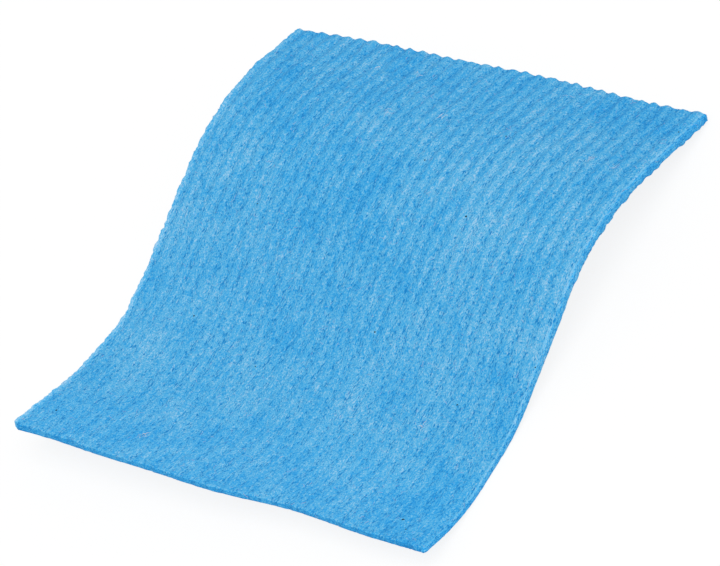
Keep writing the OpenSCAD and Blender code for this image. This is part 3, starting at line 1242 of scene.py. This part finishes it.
@dataclass
class LooseFibres:
    """Short pale fibres that lie on the upper face and sink into it at both ends.

    Densities are in fibres a square metre. Each fibre stands for a small bunch, because one alone
    is too fine to see. The tufts are each (u, v, fullness).
    """

    finish: FibreFinish = field(default_factory=FibreFinish)
    density: float = 70000.0
    patch_cell: float = 7.0
    patches: Fade = Fade(0.4, 0.7, 0.35, 1.0, unit=1)
    length: float = 1.7
    thickness: float = 0.15
    rise: float = 0.2
    sink: float = 0.4
    curls: tuple[float, ...] = (-0.4, 0.1, 0.3, 0.8)
    smallest: float = 0.45
    largest: float = 1.35
    steps: int = 4
    sides: int = 3
    tuft_density: float = 1.5e6
    tuft_r: float = 2.3
    tufts: tuple[tuple[float, float, float], ...] = (
        (-41, 14, 2.0), (-44, 186, 1.2), (-26, 187, 1.5), (0, 167, 1.1), (-21, 163, 0.9), (67, 160, 1.9),
        (78, 159, 1.2), (50, 72, 0.7), (-15, 148, 0.7), (55, 50, 1.6))
    seed: int = 7
    pick_seed: int = 3
    spin_seed: int = 4
    size_seed: int = 5

    def mark_tufts(self, sheet: Object) -> None:
        """Marks the places on the sheet where fibres lie in a tuft.

        Args:
            sheet: the finished sheet, whose points get "tuft".
        """
        skin = Skin.read(sheet)
        fullness = np.zeros(len(sheet.data.vertices))
        for u, v, share in self.tufts:
            fullness[skin.index] += share * np.clip(1 - skin.away(u, v) / self.tuft_r, 0, 1)
        mark = sheet.data.attributes.new("tuft", "FLOAT", "POINT")
        mark.data.foreach_set("value", fullness)

    def sizes(self) -> dict[str, object]:
        """Lists the tree's inputs, in metres."""
        return {"Density": self.density, "Tuft density": self.tuft_density, "Length": self.length * MM,
                "Thickness": self.thickness * MM, "Rise": self.rise * MM, "Seed": self.seed}

    def shapes(self, tree: Tree, size: dict[str, Socket]) -> list[Socket]:
        """Adds one bowed fibre for each curl.

        Args:
            tree: the tree to add to.
            size: the tree's inputs by name.

        Returns:
            The fibres' meshes.
        """
        half, back, radius = (put(tree, MATH, {0: size[name], 1: share}, operation="MULTIPLY")
                              for name, share in (("Length", 0.5), ("Length", -0.5), ("Thickness", 0.5)))
        sunk = put(tree, MATH, {0: size["Rise"], 1: -self.sink}, operation="MULTIPLY")
        start, end = (put(tree, COMBINE, {0: x, 2: sunk}) for x in (back, half))
        ring = put(tree, "GeometryNodeCurvePrimitiveCircle", {
            "Resolution": self.sides, "Radius": radius}, mode="RADIUS")
        shapes = []
        for curl in self.curls:
            aside = put(tree, MATH, {0: half, 1: curl}, operation="MULTIPLY")
            top = put(tree, COMBINE, {1: aside, 2: size["Rise"]})
            curve = put(tree, "GeometryNodeCurveQuadraticBezier", {
                "Resolution": self.steps, "Start": start, "Middle": top, "End": end})
            shapes.append(put(tree, "GeometryNodeCurveToMesh", {
                "Curve": curve, "Profile Curve": ring, "Fill Caps": True}))
        return shapes

    def grow(self, material: Material) -> Tree:
        """Builds the tree that scatters the fibres over a sheet.

        Args:
            material: the finish of the fibres.

        Returns:
            The tree.
        """
        tree, size = new_tree("scatter_fibres", self.sizes())
        upper, tuft = (put(tree, MESH_MARK, {"Name": name}, data_type="FLOAT") for name in ("upper", "tuft"))
        chosen = put(tree, MATH, {0: upper, 1: 0.5}, operation="GREATER_THAN")
        place = put(tree, MESH_MARK, {"Name": "flat_place"}, data_type="FLOAT_VECTOR")
        patches = put(tree, NOISE, {"Vector": place, "Scale": per(self.patch_cell), "Detail": 2.0})
        patches = put(tree, MAP_RANGE, self.patches.over(patches))
        density = put(tree, MATH, {0: patches, 1: size["Density"]}, operation="MULTIPLY")
        density = put(tree, MATH, {0: tuft, 1: size["Tuft density"], 2: density},
                      operation="MULTIPLY_ADD")
        scatter = put(tree, "GeometryNodeDistributePointsOnFaces", {
            "Mesh": size["Geometry"], "Selection": chosen, "Density": density, "Seed": size["Seed"]}).node
        shapes = self.shapes(tree, size)
        bundle = put(tree, "GeometryNodeGeometryToInstance")
        for shape in reversed(shapes):
            tree.links.new(shape, bundle.node.inputs[0])
        random = "FunctionNodeRandomValue"
        pick = put(tree, random, {"Min_002": 0, "Max_002": len(shapes) - 1, "Seed": self.pick_seed},
                   data_type="INT")
        spin = put(tree, random, {"Max_001": math.tau, "Seed": self.spin_seed}, data_type="FLOAT")
        scale = put(tree, random, {
            "Min_001": self.smallest, "Max_001": self.largest, "Seed": self.size_seed}, data_type="FLOAT")
        turned = put(tree, "FunctionNodeRotateRotation", {
            "Rotation": scatter.outputs["Rotation"], "Rotate By": put(tree, COMBINE, {2: spin})},
            rotation_space="LOCAL")
        placed = put(tree, "GeometryNodeInstanceOnPoints", {
            "Points": scatter.outputs["Points"], "Instance": bundle, "Pick Instance": True,
            "Instance Index": pick, "Rotation": turned, "Scale": scale})
        end_tree(tree, placed, material)
        return tree

    def make(self, sheet: Object) -> Object:
        """Makes the fibres.

        Args:
            sheet: the finished sheet that they lie on.

        Returns:
            The fibres as one mesh.
        """
        material = self.finish.build()
        self.mark_tufts(sheet)
        fibres = add_object("surface_fibres", sheet.data.copy())
        apply_tree(fibres, self.grow(material), self.sizes(), material)
        return fibres


@dataclass
class PlantFlecks:
    """The few dark flecks that are cast into the skin. Each spot is (u, v, width).

    A fleck is a round bead, one width across, that is flattened and made uneven.
    """

    finish: FleckFinish = field(default_factory=FleckFinish)
    spots: tuple[tuple[float, float, float], ...] = (
        (74, 10, 1.55), (37, 126, 0.9), (8, 145, 0.7), (20, 80, 0.8), (89, 79, 0.65), (30, 163, 0.65),
        (-59, 71, 0.72), (-80, 13, 0.75), (87, 185, 0.7), (44, 147, 0.45), (32, 40, 0.5), (-52, 117, 0.65),
        (53, 195, 0.45), (-22, 57, 0.62), (65, 61, 0.65), (78, 6, 0.65))
    bead_r: float = 0.5
    bead_detail: int = 2
    flattened: tuple[float, float, float] = (1.0, 0.7, 0.35)
    uneven_scale: float = 1.6
    uneven: Fade = Fade(0.3, 0.7, 0.6, 1.3, unit=1)
    seed: int = 11

    def place(self, sheet: Object) -> Object:
        """Sets one point of the sheet's skin under each spot.

        Args:
            sheet: the finished sheet.

        Returns:
            A mesh of loose points, which carry "facing" and "width".
        """
        skin = Skin.read(sheet)
        chosen = [int(np.argmin(skin.away(u, v))) for u, v, _ in self.spots]
        mesh = bpy.data.meshes.new("plant_flecks")
        mesh.from_pydata(skin.place[chosen].tolist(), [], [])
        facing = mesh.attributes.new("facing", "FLOAT_VECTOR", "POINT")
        facing.data.foreach_set("vector", skin.facing[chosen].ravel())
        width = mesh.attributes.new("width", "FLOAT", "POINT")
        width.data.foreach_set("value", [w * MM for _, _, w in self.spots])
        return add_object("plant_flecks", mesh)

    def sizes(self) -> dict[str, object]:
        """Lists the tree's inputs."""
        return {"Bead radius": self.bead_r, "Flattened": self.flattened, "Seed": self.seed}

    def grow(self, material: Material) -> Tree:
        """Builds the tree that sets a fleck of husk on each point.

        Args:
            material: the finish of the flecks.

        Returns:
            The tree.
        """
        tree, size = new_tree("set_flecks", self.sizes())
        facing = put(tree, MESH_MARK, {"Name": "facing"}, data_type="FLOAT_VECTOR")
        width = put(tree, MESH_MARK, {"Name": "width"}, data_type="FLOAT")
        bead = put(tree, "GeometryNodeMeshIcoSphere", {
            "Radius": size["Bead radius"], "Subdivisions": self.bead_detail})
        spot = put(tree, "GeometryNodeInputPosition")
        uneven = put(tree, NOISE, {"Vector": spot, "Scale": self.uneven_scale, "Detail": 1.0})
        uneven = put(tree, MAP_RANGE, self.uneven.over(uneven))
        husk = put(tree, VECTOR_MATH, {0: spot, 1: size["Flattened"]}, operation="MULTIPLY")
        husk = put(tree, VECTOR_MATH, {0: husk, "Scale": uneven}, operation="SCALE")
        bead = put(tree, "GeometryNodeSetPosition", {"Geometry": bead, "Position": husk})
        upright = put(tree, "FunctionNodeAlignRotationToVector", {"Vector": facing}, axis="Z")
        spin = put(tree, "FunctionNodeRandomValue", {"Max_001": math.tau, "Seed": size["Seed"]},
                   data_type="FLOAT")
        turned = put(tree, "FunctionNodeRotateRotation", {
            "Rotation": upright, "Rotate By": put(tree, COMBINE, {2: spin})}, rotation_space="LOCAL")
        placed = put(tree, "GeometryNodeInstanceOnPoints", {
            "Points": size["Geometry"], "Instance": bead, "Rotation": turned, "Scale": width})
        end_tree(tree, placed, material)
        return tree

    def make(self, sheet: Object) -> Object:
        """Makes the flecks.

        Args:
            sheet: the finished sheet that they lie on.

        Returns:
            The flecks as one mesh.
        """
        material = self.finish.build()
        flecks = self.place(sheet)
        apply_tree(flecks, self.grow(material), self.sizes(), material)
        return flecks


@dataclass
class Studio:
    """Pale floor, soft even light and the camera. The strengths of the lights are Blender's own."""

    finish: FloorFinish = field(default_factory=FloorFinish)
    floor_reach: float = 6000.0
    floor_drop: float = 0.02
    sky: float = 0.55
    sun: float = 1.6
    sun_spread: float = 60.0
    sun_from: tuple[float, float, float] = (0.3, -0.15, 1.0)
    target: tuple[float, float, float] = (0.292, -2.734, 8.0)
    azimuth: float = 55.33
    elevation: float = 42.24
    roll: float = -31.89
    distance: float = 1437.4
    lens: float = 208.67
    far_sight: float = 20000.0
    aim: tuple[float, float] = (1.25, -0.96)

    def make(self) -> None:
        """Makes the floor, the light and the camera."""
        self.lay_floor()
        self.light()
        self.stand_camera()

    def lay_floor(self) -> None:
        """Lays the floor, a sweep wide enough to fill every view, just clear of the cloth."""
        reach = self.floor_reach * MM
        mesh = bpy.data.meshes.new("floor")
        mesh.from_pydata([(-reach, -reach, 0), (reach, -reach, 0), (reach, reach, 0), (-reach, reach, 0)],
                         [], [(0, 1, 2, 3)])
        floor = add_object("floor", mesh)
        floor.data.materials.append(self.finish.build())
        floor.location.z = -self.floor_drop * MM

    def light(self) -> None:
        """Hangs a wide soft lamp to the right, and fills the room with even light."""
        world = bpy.data.worlds.new("even_room")
        bpy.context.scene.world = world
        world.use_nodes = True
        tree = world.node_tree
        tree.nodes.clear()
        ray = put(tree, "ShaderNodeLightPath").node.outputs["Is Camera Ray"]
        room, seen = (put(tree, "ShaderNodeBackground", {"Color": (1, 1, 1, 1), "Strength": s})
                      for s in (self.sky, 1.0))
        mixed = put(tree, "ShaderNodeMixShader", {0: ray, 1: room, 2: seen})
        put(tree, "ShaderNodeOutputWorld", {"Surface": mixed})
        lamp = bpy.data.lights.new("wide_lamp", "SUN")
        lamp.energy = self.sun
        lamp.angle = math.radians(self.sun_spread)
        sun = add_object("wide_lamp", lamp)
        sun.rotation_euler = Vector(self.sun_from).to_track_quat("Z", "Y").to_euler()

    def stand_camera(self) -> None:
        """Stands the camera over the near right corner, rolled so that the sheet lies slantwise."""
        az, el, roll = (math.radians(a) for a in (self.azimuth, self.elevation, self.roll))
        back = Vector((math.sin(az) * math.cos(el), -math.cos(az) * math.cos(el), math.sin(el)))
        level = Vector((math.cos(az), math.sin(az), 0))
        upright = back.cross(level)
        right = math.cos(roll) * level + math.sin(roll) * upright
        up = math.cos(roll) * upright - math.sin(roll) * level
        centre = Vector(self.target) + self.aim[0] * right + self.aim[1] * up
        place = (centre + back * self.distance) * MM
        data = bpy.data.cameras.new("camera")
        data.lens = self.lens
        data.clip_end = self.far_sight * MM
        camera = add_object("camera", data)
        turn = Matrix((right, up, back)).transposed().to_4x4()
        camera.matrix_world = Matrix.Translation(place) @ turn
        bpy.context.scene.camera = camera
        bpy.context.scene.view_settings.view_transform = "Standard"


def report(piece: Object) -> None:
    """Logs a piece's triangles and box.

    Args:
        piece: the finished piece.
    """
    points = np.empty(len(piece.data.vertices) * 3)
    piece.data.vertices.foreach_get("co", points)
    points = points.reshape(-1, 3) / MM
    triangles = sum(len(p.vertices) - 2 for p in piece.data.polygons)
    log.info("%s: %d triangles, from %s to %s mm", piece.name, triangles,
             points.min(0).round(2), points.max(0).round(2))


def main() -> None:
    """Builds the cloth and the studio in order."""
    logging.basicConfig(level=logging.INFO, format="%(name)s: %(message)s")
    sheet = SpongeSheet().make()
    fibres = LooseFibres().make(sheet)
    flecks = PlantFlecks().make(sheet)
    for piece in (sheet, fibres, flecks):
        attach(piece, "root")
        report(piece)
    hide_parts("sponge_cloth")
    Studio().make()


if __name__ == "__main__":
    main()
